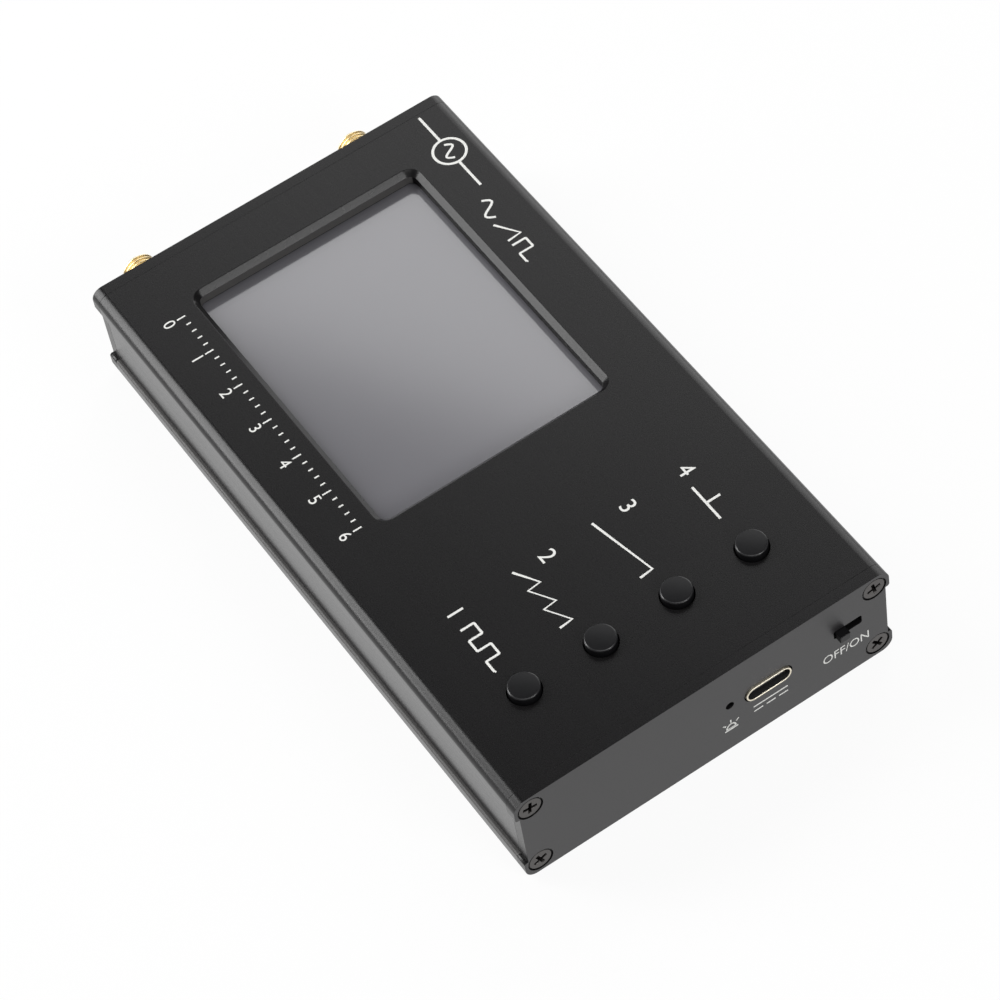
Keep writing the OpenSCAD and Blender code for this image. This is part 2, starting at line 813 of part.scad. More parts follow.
module rf_insulators() {
    length = insulator_tip + board_x0;
    color("white") for (y = jack_places) translate([board_x0, y, jack_z]) rotate([0, -90, 0])
        difference() {
            cylinder(d = insulator_d, h = length);
            translate([0, 0, -over]) cylinder(r = contact_d / 2 + seat_gap, h = length + 2 * over);
        }
}

// Centre contacts: a socket for the plug's pin, with a tail that lies on the board
module rf_contacts() {
    length = insulator_tip + board_x0;
    color(gold) for (y = jack_places) translate([board_x0, y, jack_z]) rotate([0, -90, 0])
        difference() {
            union() {
                cylinder(d = contact_d, h = length);
                translate([0, 0, -leg_l]) cylinder(d = tail_d, h = leg_l + over);
            }
            translate([0, 0, length - contact_hole_l])
                cylinder(d = contact_hole_d, h = contact_hole_l + over);
        }
}

module shield_frame() {
    inner = 2 * shield_t;
    color(steel) difference() {
        block([shield_x0, -shield_w / 2, board_bottom - shield_h], [shield_l, shield_w, shield_h]);
        block(
            [shield_x0 + shield_t, -shield_w / 2 + shield_t, board_bottom - shield_h - over],
            [shield_l - inner, shield_w - inner, shield_h + 2 * over]
        );
    }
}

// Lid that clips over the frame with a short skirt
module shield_lid() {
    grow = shield_t + seat_gap;
    lid_z = board_bottom - shield_h;
    color(steel) difference() {
        block(
            [shield_x0 - grow, -shield_w / 2 - grow, lid_z - shield_t],
            [shield_l + 2 * grow, shield_w + 2 * grow, shield_t + shield_skirt]
        );
        block(
            [shield_x0 - seat_gap, -shield_w / 2 - seat_gap, lid_z],
            [shield_l + 2 * seat_gap, shield_w + 2 * seat_gap, shield_h]
        );
    }
}

// Flat chip of a size under the board, about x and y
module chip_under(x, y, size) {
    block([x - size[0] / 2, y - size[1] / 2, board_bottom - size[2]], size);
}

module synthesiser_chip() {
    color(plastic_black) chip_under(shield_x, synthesiser_y, synthesiser_size);
}

module reference_oscillator() {
    color(steel) chip_under(shield_x, oscillator_y, oscillator_size);
}

module microcontroller() {
    color(plastic_black) chip_under(battery_x, 0, microcontroller_size);
}

module charger_chip() {
    color(plastic_black) chip_under(charger_x, 0, charger_size);
}

module power_inductor() {
    color([0.25, 0.25, 0.26]) chip_under(charger_x, inductor_y, inductor_size);
}

// Pouch cell with rounded sides and a thin seal terrace where the leads come out
module battery() {
    flat_w = battery_w - 2 * battery_r;
    color([0.7, 0.71, 0.74]) {
        along_x(battery_x0, battery_l)
            translate([0, lead_z0]) rounded_rect(battery_w, battery_t, battery_r);
        block([battery_x1, -flat_w / 2, lead_z0 - terrace_t / 2], [terrace_l, flat_w, terrace_t]);
    }
}

module battery_pad() {
    flat_w = battery_w - 2 * battery_r;
    color([0.9, 0.9, 0.85]) block([battery_x0, -flat_w / 2, floor_t], [battery_l, flat_w, battery_pad_t]);
}

// Lead with a straight stretch at the battery and at the plug
module battery_lead(y) {
    x0 = battery_x1 + terrace_l;
    rise = plug_z - lead_z0;
    slope_l = lead_run - 2 * lead_straight;
    translate([x0, y, lead_z0]) rotate([0, 90, 0]) cylinder(d = lead_d, h = lead_straight);
    translate([x0 + lead_straight, y, lead_z0]) {
        sphere(d = lead_d);
        rotate([0, atan2(slope_l, rise), 0]) cylinder(d = lead_d, h = norm([slope_l, rise]));
    }
    translate([plug_x0 - lead_straight, y, plug_z]) {
        sphere(d = lead_d);
        rotate([0, 90, 0]) cylinder(d = lead_d, h = lead_straight);
    }
}

module battery_lead_red() {
    color("red") battery_lead(plug_y + lead_pitch / 2);
}

module battery_lead_black() {
    color([0.08, 0.08, 0.08]) battery_lead(plug_y - lead_pitch / 2);
}

module battery_plug() {
    color("white") block([plug_x0, plug_y - plug_w / 2, plug_z - plug_h / 2], [plug_l, plug_w, plug_h]);
}

// Header under the board that takes the plug, open towards the battery
module battery_socket() {
    x0 = plug_x0 + plug_out;
    color([0.93, 0.92, 0.88]) difference() {
        block([x0, plug_y - socket_w / 2, board_bottom - socket_h], [socket_l, socket_w, socket_h]);
        block(
            [x0 - over, plug_y - plug_w / 2 - slide_gap, board_bottom - plug_h - 2 * slide_gap],
            [plug_l - plug_out + over, plug_w + 2 * slide_gap, plug_h + 2 * slide_gap + over]
        );
    }
}

case_shell();
front_plate();
rear_plate();
front_plate_screws();
rear_plate_screws();
display_gasket();
display_glass();
display_backlight();
display_tray();
display_pad();
display_flex();
flex_socket();
main_board();
usb_shell();
usb_tongue();
charge_lamp_body();
charge_lamp_lens();
power_switch_base();
power_switch_cover();
power_knob();
power_contact();
rf_jack_left();
rf_jack_right();
rf_insulators();
rf_contacts();
shield_frame();
shield_lid();
synthesiser_chip();
reference_oscillator();
microcontroller();
charger_chip();
power_inductor();
battery();
battery_pad();
battery_lead_red();
battery_lead_black();
battery_plug();
battery_socket();
for (k = [1:4]) {
    button_cap(k);
    tact_plunger(k);
    tact_dome(k);
    tact_base(k);
    tact_cover(k);
}
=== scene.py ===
# %% [markdown]
# # A pocket signal generator
# The real object is a black aluminium extrusion, closed by two screwed end plates. The display and
# four buttons are on top. The front plate has a charging socket, a lamp and a slide switch, and
# two gold coaxial jacks stand on the rear plate. The CAD solids are loaded first, as a fixed frame
# in metres. Each visible piece is then a CAD solid with a better finish, a copy of one with its
# edges broken, or a new piece that stands for it in the same place.

# %% Load the frame
import json
from math import cos, degrees, pi, radians, sin

import bmesh
import bpy
from mathutils import Matrix, Vector

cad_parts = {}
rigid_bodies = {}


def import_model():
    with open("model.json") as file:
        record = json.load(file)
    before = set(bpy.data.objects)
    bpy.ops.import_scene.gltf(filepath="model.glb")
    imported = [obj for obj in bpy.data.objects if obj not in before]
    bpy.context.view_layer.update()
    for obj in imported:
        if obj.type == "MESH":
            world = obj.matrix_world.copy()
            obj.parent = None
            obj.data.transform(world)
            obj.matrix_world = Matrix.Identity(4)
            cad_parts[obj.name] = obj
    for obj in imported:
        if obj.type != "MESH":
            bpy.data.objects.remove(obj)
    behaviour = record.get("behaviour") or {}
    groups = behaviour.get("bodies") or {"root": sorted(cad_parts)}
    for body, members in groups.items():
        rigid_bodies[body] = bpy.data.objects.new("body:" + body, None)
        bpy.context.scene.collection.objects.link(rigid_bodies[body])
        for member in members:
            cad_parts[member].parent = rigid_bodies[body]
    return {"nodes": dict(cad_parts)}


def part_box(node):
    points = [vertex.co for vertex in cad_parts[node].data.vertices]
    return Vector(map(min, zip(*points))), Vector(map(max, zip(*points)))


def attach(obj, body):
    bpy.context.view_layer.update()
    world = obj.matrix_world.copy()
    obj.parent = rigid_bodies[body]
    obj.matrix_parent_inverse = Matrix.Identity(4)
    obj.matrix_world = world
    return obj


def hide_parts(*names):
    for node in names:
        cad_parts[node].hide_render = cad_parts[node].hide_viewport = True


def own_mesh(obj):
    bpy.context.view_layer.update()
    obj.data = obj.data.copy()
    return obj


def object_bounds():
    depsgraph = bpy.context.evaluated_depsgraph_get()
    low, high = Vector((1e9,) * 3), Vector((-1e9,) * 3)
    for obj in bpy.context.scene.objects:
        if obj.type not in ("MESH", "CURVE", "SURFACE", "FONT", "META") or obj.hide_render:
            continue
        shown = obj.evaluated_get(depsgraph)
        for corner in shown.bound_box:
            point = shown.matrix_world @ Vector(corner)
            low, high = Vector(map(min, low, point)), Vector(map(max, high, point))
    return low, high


for default in list(bpy.data.objects):
    bpy.data.objects.remove(default)
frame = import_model()
nodes = frame["nodes"]
cad_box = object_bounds()
MM = 0.001
print(len(nodes), "CAD solids, box in mm:", [[round(c / MM, 2) for c in p] for p in cad_box])

# %% [markdown]
# ## Shader sockets as values
# A finish is a small sum of noises and colours. Adding and linking each Math node by hand hides
# that sum, so one class wraps a socket and lets Python's own + - * make the nodes. Any other node
# comes from the same class: its settings are set first, then the values or links of its sockets.

# %% One class for shader nodes
class Shade:
    """An output socket of a node tree, used like a number."""

    def __init__(self, tree, socket=None):
        self.tree = tree
        self.socket = socket

    def node(self, kind, settings=None, sockets=None, out=0):
        """Add a node and give back one of its outputs."""
        made = self.tree.nodes.new(kind)
        for name, value in (settings or {}).items():
            setattr(made, name, value)
        for name, value in (sockets or {}).items():
            if isinstance(value, Shade):
                self.tree.links.new(value.socket, made.inputs[name])
            else:
                made.inputs[name].default_value = value
        return Shade(self.tree, made.outputs[out] if made.outputs else None)

    def maths(self, operation, first, second):
        return self.node("ShaderNodeMath", {"operation": operation}, {0: first, 1: second})

    def __add__(self, other):
        return self.maths("ADD", self, other)

    def __radd__(self, other):
        return self.maths("ADD", other, self)

    def __sub__(self, other):
        return self.maths("SUBTRACT", self, other)

    def __rsub__(self, other):
        return self.maths("SUBTRACT", other, self)

    def __mul__(self, other):
        return self.maths("MULTIPLY", self, other)

    def __rmul__(self, other):
        return self.maths("MULTIPLY", other, self)


# %% Helpers that every finish uses
def new_finish(name):
    """An empty material, and the Object coordinates that its patterns read."""
    material = bpy.data.materials.new(name)
    material.use_nodes = True
    material.node_tree.nodes.clear()
    place = Shade(material.node_tree).node("ShaderNodeTexCoord", out="Object")
    return material, place


def noise(place, scale, detail=2.0, stretch=None):
    """Noise from 0 to 1, with a scale in lumps to the metre, drawn out along an axis if asked."""
    if stretch:
        drawn_out = {0: place, 1: stretch}
        place = place.node("ShaderNodeVectorMath", {"operation": "MULTIPLY"}, drawn_out)
    sockets = {"Vector": place, "Scale": scale, "Detail": detail}
    return place.node("ShaderNodeTexNoise", None, sockets)


def blend(share, low, high):
    """A colour between two, by a share from 0 to 1."""
    sockets = {0: share, 6: (*low, 1.0), 7: (*high, 1.0)}
    return share.node("ShaderNodeMix", {"data_type": "RGBA"}, sockets, out=2)


def relief(height, depth):
    """A normal from a height of 0 to 1 and the depth in mm that it stands for."""
    sockets = {"Height": height, "Distance": depth * MM}
    return height.node("ShaderNodeBump", None, sockets, out="Normal")


def close_finish(place, colour, rough, normal, **fixed):
    """Principled surface: the varying sockets are linked, the fixed ones set on the shader."""
    sockets = {name.replace("_", " "): value for name, value in fixed.items()}
    sockets.update({"Base Color": colour, "Roughness": rough, "Normal": normal})
    surface = place.node("ShaderNodeBsdfPrincipled", None, sockets)
    place.node("ShaderNodeOutputMaterial", None, {"Surface": surface})


# %% [markdown]
# ## Anodised aluminium
# The case is blasted, then anodised black. Close up that is a dark dye under a clear, slightly
# glassy layer, with pits of about a fifth of a millimetre. A flat black would look like paint, so
# fine noise sets the pits' roughness and relief and a broad one clouds the dye. The extrusion also
# keeps faint lines along its length, from noise that is drawn out along X. One gloss for every face
# doesn't give the photograph's tones, so the top, the flanks, the window's edge and walls and the
# plates each have their own. A much paler dye on the window's far wall and the lower rails is
# painted light, and a darker dye on the other window walls is painted shade.

# %% Anodised finishes
PITS_PER_M, CLOUDS_PER_M, LINES_PER_M = 5200.0, 38.0, 900.0
ALONG_X = (0.02, 1.0, 1.0)
PIT_DEPTH = 0.006
PIT_SWING = 0.14


def anodised(name, dark, light, rough, lines, ior):
    """Pits and lines over a clouded dye, with a share of lines from 0 to 1."""
    material, place = new_finish(name)
    pits = noise(place, PITS_PER_M, 3.0)
    cloud = noise(place, CLOUDS_PER_M)
    drawn = noise(place, LINES_PER_M, 2.0, ALONG_X)
    height = pits + (drawn - pits) * lines
    colour = blend(cloud * 0.45 + height * 0.55, dark, light)
    gloss = rough - PIT_SWING / 2 + height * PIT_SWING
    close_finish(place, colour, gloss, relief(height, PIT_DEPTH), IOR=ior)
    return material


DYE = (0.0035, 0.0033, 0.0036), (0.0085, 0.0081, 0.0086)
# A darker dye for the window walls: painted shade.
PAINTED_SHADE_DYE = (0.0025, 0.0024, 0.0026), (0.005, 0.0048, 0.005)
# A much paler dye for the window's far wall and the lower rails: painted light.
PAINTED_LIGHT_DYE = (0.05, 0.048, 0.047), (0.085, 0.082, 0.08)
PLATE_DYE = (0.0112, 0.0106, 0.0116), (0.0185, 0.0175, 0.019)
case_black = anodised("case_black", *DYE, rough=0.29, lines=0.3, ior=1.4)
top_black = anodised("top_black", *DYE, rough=0.28, lines=0.2, ior=1.34)
flank_black = anodised("flank_black", *DYE, rough=0.24, lines=0.25, ior=1.5)
window_black = anodised("window_black", *DYE, rough=0.29, lines=0.3, ior=1.34)
wall_painted_shade = anodised("wall_painted_shade", *PAINTED_SHADE_DYE, rough=0.5, lines=0.3, ior=1.22)
rail_and_wall_painted_light = anodised("rail_and_wall_painted_light", *PAINTED_LIGHT_DYE, rough=0.5, lines=0.5, ior=1.55)
plate_black = anodised("plate_black", *PLATE_DYE, rough=0.4, lines=0.0, ior=1.53)
case_finishes = [case_black, top_black, flank_black, window_black, wall_painted_shade, rail_and_wall_painted_light]
print("anodised:", *(finish.name for finish in case_finishes), plate_black.name)

# %% [markdown]
# ## Plain grained finishes
# Moulded plastic, rubber, foil, plating and ink differ in colour, gloss and grain, but not in how
# they are made: a fine grain with a slow drift of tone under it. One function with those sizes
# gives each its own look. The finishes are keyed by the record's slots, so that each CAD solid can
# find its own.

# %% Grained finishes
GRAIN_SWING = 0.12
DRIFT_SHARE = 0.04


def grained(name, dark, light, rough, grain, depth, **fixed):
    """A grain in lumps to the metre, with a relief in mm, over a drift of tone."""
    material, place = new_finish(name)
    fine = noise(place, grain, 3.0)
    drift = noise(place, grain * DRIFT_SHARE)
    colour = blend(fine * 0.5 + drift * 0.5, dark, light)
    gloss = rough - GRAIN_SWING / 2 + fine * GRAIN_SWING
    close_finish(place, colour, gloss, relief(fine, depth), **fixed)
    return material


cap_black = grained("cap_black", (0.004, 0.004, 0.0046), (0.008, 0.008, 0.009),
                    0.34, 4200.0, 0.004, IOR=1.32)
# A lighter colour for the caps' rims: a painted highlight.
rim_painted_highlight = grained("rim_painted_highlight", (0.008, 0.008, 0.009), (0.016, 0.016, 0.0175),
                  0.36, 4200.0, 0.002, IOR=1.55)
screw_black = grained("screw_black", (0.06, 0.057, 0.056), (0.115, 0.109, 0.105),
                      0.34, 3600.0, 0.004, Metallic=1.0)
steel = grained("tin_plate", (0.52, 0.51, 0.48), (0.68, 0.66, 0.61),
                0.26, 2600.0, 0.002, Metallic=1.0)
gold = grained("gold_plate", (0.94, 0.75, 0.42), (0.99, 0.86, 0.58),
               0.42, 3000.0, 0.002, Metallic=1.0)
bright_lip = grained("bright_lip", (0.86, 0.8, 0.66), (0.95, 0.89, 0.75),
                     0.52, 2600.0, 0.001, Metallic=1.0)
# A dark, dull colour for the inside of the tin-plated shell: painted shade.
shell_painted_shade = grained("shell_painted_shade", (0.012, 0.012, 0.013), (0.03, 0.03, 0.03),
                     0.5, 2600.0, 0.002)
white_ink = grained("white_ink", (0.72, 0.72, 0.7), (0.83, 0.83, 0.8),
                    0.55, 6500.0, 0.003)
print("grained:", cap_black.name, screw_black.name, steel.name, gold.name, white_ink.name)

# %% Finishes of the inner and smaller pieces
slot_finish = {
    "case_anodised": case_black,
    "plate_anodised": plate_black,
    "black_screw": screw_black,
    "black_plastic": cap_black,
    "steel": steel,
    "gold": gold,
    "switch_plastic": grained("switch_black", (0.02, 0.02, 0.02), (0.04, 0.04, 0.04),
                              0.5, 3000.0, 0.005),
    "gasket_rubber": grained("gasket_black", (0.004, 0.004, 0.004), (0.009, 0.009, 0.009),
                             0.8, 2400.0, 0.02),
    "foam": grained("grey_foam", (0.02, 0.02, 0.022), (0.06, 0.06, 0.062),
                    0.9, 1500.0, 0.06),
    "white_plastic": grained("cream_plastic", (0.62, 0.6, 0.55), (0.74, 0.72, 0.67),
                             0.45, 2600.0, 0.004),
    "ptfe": grained("ptfe_white", (0.74, 0.74, 0.72), (0.84, 0.84, 0.82),
                    0.5, 1800.0, 0.004, Subsurface_Weight=0.1, Subsurface_Scale=0.3 * MM),
    "flex_film": grained("amber_film", (0.3, 0.13, 0.025), (0.46, 0.22, 0.05),
                         0.3, 1400.0, 0.003),
    "usb_plastic": grained("tongue_black", (0.014, 0.015, 0.02), (0.026, 0.028, 0.036),
                           0.38, 3000.0, 0.004),
    "lamp_lens": grained("clear_epoxy", (0.3, 0.33, 0.31), (0.4, 0.43, 0.41),
                         0.18, 2000.0, 0.002, Transmission_Weight=0.5),
    "chip_plastic": grained("chip_epoxy", (0.012, 0.012, 0.013), (0.024, 0.024, 0.025),
                            0.55, 3200.0, 0.006),
    "ferrite": grained("ferrite_grey", (0.03, 0.03, 0.032), (0.07, 0.07, 0.072),
                       0.6, 2600.0, 0.02),
    "battery_foil": grained("pouch_foil", (0.4, 0.41, 0.43), (0.56, 0.57, 0.6),
                            0.34, 500.0, 0.03, Metallic=0.9),
    "lead_red": grained("red_silicone", (0.3, 0.012, 0.01), (0.42, 0.025, 0.02),
                        0.5, 2000.0, 0.006),
    "lead_black": grained("black_silicone", (0.012, 0.012, 0.012), (0.026, 0.026, 0.026),
                          0.5, 2000.0, 0.006),
}
print(len(slot_finish), "slot finishes so far")

# %% [markdown]
# ## Display film
# The unlit panel looks lilac grey, because its front film is satin: it scatters a little light and
# softens what it mirrors. The grey is in the base colour, and a low roughness, with a very fine
# relief, leaves the soft gradient to the lamps. Nothing of the gradient is painted.

# %% Display finish
FILM_GREY = (0.142, 0.140, 0.154), (0.160, 0.158, 0.173)
SPARKLES_PER_M, HAZES_PER_M = 9000.0, 26.0


def display_film(name):
    material, place = new_finish(name)
    sparkle = noise(place, SPARKLES_PER_M, 2.0)
    haze = noise(place, HAZES_PER_M)
    colour = blend(haze * 0.7 + sparkle * 0.3, *FILM_GREY)
    close_finish(place, colour, 0.1 + sparkle * 0.04, relief(sparkle, 0.0004), IOR=1.9)
    return material


slot_finish["display_glass"] = display_film("display_film")
print("display:", slot_finish["display_glass"].name)

# %% [markdown]
# ## Circuit board
# Solder mask is a green lacquer over copper tracks, and the tracks show as slightly lighter, raised
# bands. A stepped noise, stretched across the board, is enough for a board that is shut inside.

# %% Board finish
MASK_GREEN = (0.006, 0.05, 0.02), (0.014, 0.1, 0.042)
TRACKS_PER_M, TRACK_EDGE, TRACK_STRETCH = 420.0, 0.52, (0.25, 1.0, 1.0)


def solder_mask(name):
    material, place = new_finish(name)
    tracks = noise(place, TRACKS_PER_M, 0.0, TRACK_STRETCH)
    raised = tracks.maths("GREATER_THAN", tracks, TRACK_EDGE)
    grain = noise(place, 2500.0)
    colour = blend(raised * 0.7 + grain * 0.3, *MASK_GREEN)
    close_finish(place, colour, 0.28 + grain * 0.08, relief(raised, 0.02), IOR=1.5)
    return material


slot_finish["board_green"] = solder_mask("solder_mask")
for node in nodes.values():
    own = node.material_slots[0]
    own.material = slot_finish[own.material.name]
print("finished CAD solids:", len(nodes), "slots:", len(slot_finish))

# %% [markdown]
# ## From a bmesh to a piece
# New pieces are modelled as a bmesh and end the same way: the mesh gets its finishes, its faces are
# smoothed except where they meet at more than an angle, and the object rides on a CAD body. A
# Weighted Normal modifier lets the large faces set the normals, or a narrow bevel would shade a
# flat face like a cushion. The place is in the mesh, so the object stays at the origin.

# %% Closing a piece
def close_piece(name, bm, finishes, body="case", stands_for=(), crease=32):
    mesh = bpy.data.meshes.new(name)
    bm.to_mesh(mesh)
    bm.free()
    for finish in finishes:
        mesh.materials.append(finish)
    mesh.shade_smooth()
    mesh.set_sharp_from_angle(angle=radians(crease))
    piece = bpy.data.objects.new(name, mesh)
    bpy.context.scene.collection.objects.link(piece)
    level = piece.modifiers.new("flat_faces", "WEIGHTED_NORMAL")
    level.weight = 100
    level.keep_sharp = True
    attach(piece, body)
    if stands_for:
        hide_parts(*stands_for)
    print(f"{name}: {len(mesh.polygons)} faces on {body}")
    return piece


# %% [markdown]
# ## Copies with broken edges
# No machined edge is perfectly sharp: a narrow flat or round catches the light, and without it a
# black object has no outline. The CAD solids keep their edges sharp. A copy is merged, because its
# triangles are loose, its flat faces are joined again, and only then are its edges bevelled.

# %% Copying and bevelling
X, Y, Z = range(3)
MERGE = 0.001 * MM
NEAR = 0.01 * MM
FLAT_ANGLE, SHARP_ANGLE = radians(0.5), radians(35)


def cad_copy(node):
    bm = bmesh.new()
    bm.from_mesh(nodes[node].data)
    bmesh.ops.remove_doubles(bm, verts=bm.verts, dist=MERGE)
    bmesh.ops.dissolve_limit(bm, angle_limit=FLAT_ANGLE, verts=bm.verts, edges=bm.edges)
    return bm


def bevel(bm, edges, width, segments, **more):
    bmesh.ops.bevel(
        bm, geom=edges, offset=width, offset_type="OFFSET", affect="EDGES",
        segments=segments, profile=0.5, material=-1, **more,
    )


def break_edges(bm, width, chosen=lambda edge: True, segments=2):
    """Bevel the outer sharp edges among those that are chosen."""
    outer = [edge for edge in bm.edges if edge.is_manifold and edge.is_convex]
    sharp = [edge for edge in outer if edge.calc_face_angle() > SHARP_ANGLE and chosen(edge)]
    bevel(bm, sharp, width, segments, clamp_overlap=True)


def lies_at(part, axis, *values):
    """Whether all corners of an edge or face lie at one of some places along an axis."""
    return any(all(abs(v.co[axis] - value) < NEAR for v in part.verts) for value in values)


# %% [markdown]
# ## Case and end plates
# The case is one extrusion with rails along its sides and screw bosses inside its corners. Its top
# has the display window and four button holes, which are milled. A face takes its finish by where
# it lies: top, flank, window edge, window wall or rail. The paler dye on the window's far wall and
# the lower rails is painted light, and the darker dye on the other window walls is painted shade.
# The plates take a finer edge, because their counterbores come close to their outline.

# %% Case
CASE, TOP_FACE, FLANK, WINDOW_EDGE, PAINTED_SHADE, PAINTED_LIGHT = range(len(case_finishes))
SQUARE, NEARLY_SQUARE, FACING, TILTED = 0.999, 0.98, 0.7, 0.2
CASE_EDGE = 0.12 * MM
case_low, case_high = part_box("case_shell")
gasket_low, gasket_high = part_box("display_gasket")
RAIL_TOP, RAIL_SIDE = 0.3 * case_high.z, case_high.y - 2 * MM


def in_window(point):
    inside = all(gasket_low[k] < point[k] < gasket_high[k] for k in (X, Y))
    return point.z > gasket_low.z and inside


def case_finish(face):
    """Which of the case's finishes a face takes, by where it lies."""
    spot = face.calc_center_median()
    if face.normal.z > SQUARE and lies_at(face, Z, case_high.z):
        return TOP_FACE
    if in_window(spot):
        if face.normal.z > TILTED:
            return WINDOW_EDGE
        # The far wall, which faces the front, takes the paler dye, painted light; the other walls
        # take the darker dye, painted shade.
        return PAINTED_LIGHT if face.normal.x > FACING else PAINTED_SHADE
    if abs(face.normal.y) > NEARLY_SQUARE:
        return FLANK
    # The lower rails take the paler dye, which is painted light.
    return PAINTED_LIGHT if spot.z < RAIL_TOP and abs(spot.y) > RAIL_SIDE else CASE


def at_end_or_top(edge):
    return lies_at(edge, X, case_low.x, case_high.x) or lies_at(edge, Z, case_high.z)


bm = cad_copy("case_shell")
break_edges(bm, CASE_EDGE, at_end_or_top)
for face in bm.faces:
    face.material_index = case_finish(face)
close_piece("extruded_case", bm, case_finishes, stands_for=["case_shell"])

# %% End plates
PLATE_EDGE = 0.1 * MM
SIDE, LEVEL_SIDE = 1, 2
for plate in ("front_plate", "rear_plate"):
    low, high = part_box(plate)
    bm = cad_copy(plate)
    break_edges(bm, PLATE_EDGE, lambda e: lies_at(e, X, low.x, high.x))
    for face in bm.faces:
        if not lies_at(face, X, low.x, high.x):
            face.material_index = LEVEL_SIDE if abs(face.normal.z) > NEARLY_SQUARE else SIDE
    finishes = [plate_black, case_black, top_black]
    close_piece(f"{plate}_finished", bm, finishes, stands_for=[plate])

# %% [markdown]
# ## Screws and slide knob
# The screws, which sit in counterbores, and the moulded knob already have their form in the CAD
# solids. A bevel of a few hundredths rounds the cross recess and the rim of each head, and a wider
# one the moulded knob.

# %% Screws and knob
HEAD_EDGE, KNOB_EDGE = 0.06 * MM, 0.12 * MM
for screws in ("front_plate_screws", "rear_plate_screws"):
    bm = cad_copy(screws)
    break_edges(bm, HEAD_EDGE)
    close_piece(f"{screws}_finished", bm, [screw_black], stands_for=[screws])

bm = cad_copy("power_knob")
break_edges(bm, KNOB_EDGE, segments=3)
close_piece("slide_knob", bm, [cap_black], "power_slider", ["power_knob"])

# %% [markdown]
# ## Button caps
# A cap is turned in form: a stem with a trapped flange below, and a flat top with a soft rim. A
# spin of its outline gives it, and a bevel along the top ring then rounds the rim. The rim has a
# finish of its own that mirrors more, and a lighter colour that is a painted highlight, so that it
# reads as a thin lighter line.

# %% Spinning an outline
def spin_outline(bm, outline, centre, axis, steps=96):
    """Spin a chain of (radius, distance along the axis) a full turn about the axis."""
    axis = Vector(axis)
    side = axis.orthogonal().normalized()
    chain = [bm.verts.new(centre + side * radius + axis * along) for radius, along in outline]
    edges = [bm.edges.new(pair) for pair in zip(chain, chain[1:])]
    bmesh.ops.spin(
        bm, geom=chain + edges, cent=centre, axis=axis, angle=2 * pi, steps=steps, use_merge=True,
    )
    bmesh.ops.remove_doubles(bm, verts=bm.verts, dist=MERGE)
    bmesh.ops.recalc_face_normals(bm, faces=bm.faces)


# %% Button caps
BUTTONS = range(1, 5)
CAP_R = 2.75 * MM
CAP_FLANGE_T = 1.0 * MM
SOCKET_R, SOCKET_H = 1.8 * MM, 0.4 * MM
RIM_ROUND, RIM_DEPTH = 0.32 * MM, 0.3 * MM
for k in BUTTONS:
    low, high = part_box(f"button_cap_{k}")
    tall = high.z - low.z
    flange_r = (high.x - low.x) / 2
    outline = [
        (0.0, SOCKET_H), (SOCKET_R, SOCKET_H), (SOCKET_R, 0.0), (flange_r, 0.0),
        (flange_r, CAP_FLANGE_T), (CAP_R, CAP_FLANGE_T), (CAP_R, tall), (0.0, tall),
    ]
    bm = bmesh.new()
    centre = Vector(((low.x + high.x) / 2, (low.y + high.y) / 2, low.z))
    spin_outline(bm, outline, centre, (0, 0, 1))
    rim = [e for e in bm.edges if lies_at(e, Z, high.z) and e.calc_face_angle() > radians(60)]
    bevel(bm, rim, RIM_ROUND, 5)
    for face in bm.faces:
        spot = face.calc_center_median()
        # Rim faces take the painted highlight.
        if spot.z > high.z - RIM_DEPTH and face.normal.z < NEARLY_SQUARE:
            face.material_index = 1
    close_piece(f"round_cap_{k}", bm, [cap_black, rim_painted_highlight], f"button_{k}", [f"button_cap_{k}"],
                crease=40)

# %% [markdown]
# ## Snap domes
# Under each cap a plunger stands on a thin steel dome, which gives way when the button is pressed.
# A copy of the CAD dome, with a mesh of its own, stands for it.

# %% Snap domes
for k in BUTTONS:
    node = f"tact_dome_{k}"
    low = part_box(node)[0]
    dome = close_piece(f"snap_dome_{k}", cad_copy(node), [steel], stands_for=[node])
    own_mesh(dome)

# %% [markdown]
# ## Charging socket
# The socket's shell is drawn from thin tin-plated sheet, with a rolled lip that shines round a dark
# mouth. The inside of the shell is given a dark, dull colour in place of tin plate, which is
# painted shade. Its outline is a circle whose halves are moved apart. The loop is extruded to the
# shell's length, given its wall, and its mouth is bevelled to a lip. Small gold contacts lie on the
# tongue.

# %% Socket shell
SHELL_T, LIP_ROUND, LIP_DEPTH = 0.3 * MM, 0.12 * MM, 0.13 * MM
BRIGHT, SHADE_INSIDE = range(2)
low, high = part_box("usb_shell")
middle = (low + high) / 2
half_h = (high.z - low.z) / 2
half_run = (high.y - low.y) / 2 - half_h
bm = bmesh.new()
loop = bmesh.ops.create_circle(bm, segments=64, radius=half_h)["verts"]
bmesh.ops.rotate(bm, verts=loop, matrix=Matrix.Rotation(pi / 2, 3, "Y"))
bmesh.ops.translate(bm, verts=loop, vec=(high.x, middle.y, middle.z))
for vert in loop:
    vert.co.y += half_run if vert.co.y > middle.y else -half_run
tube = bmesh.ops.extrude_edge_only(bm, edges=bm.edges[:])["geom"]
far_end = [v for v in tube if isinstance(v, bmesh.types.BMVert)]
bmesh.ops.translate(bm, verts=far_end, vec=(low.x - high.x, 0, 0))
bmesh.ops.recalc_face_normals(bm, faces=bm.faces)
bmesh.ops.solidify(bm, geom=bm.faces[:], thickness=SHELL_T)
bmesh.ops.recalc_face_normals(bm, faces=bm.faces)
break_edges(bm, LIP_ROUND, lambda e: lies_at(e, X, high.x), segments=3)
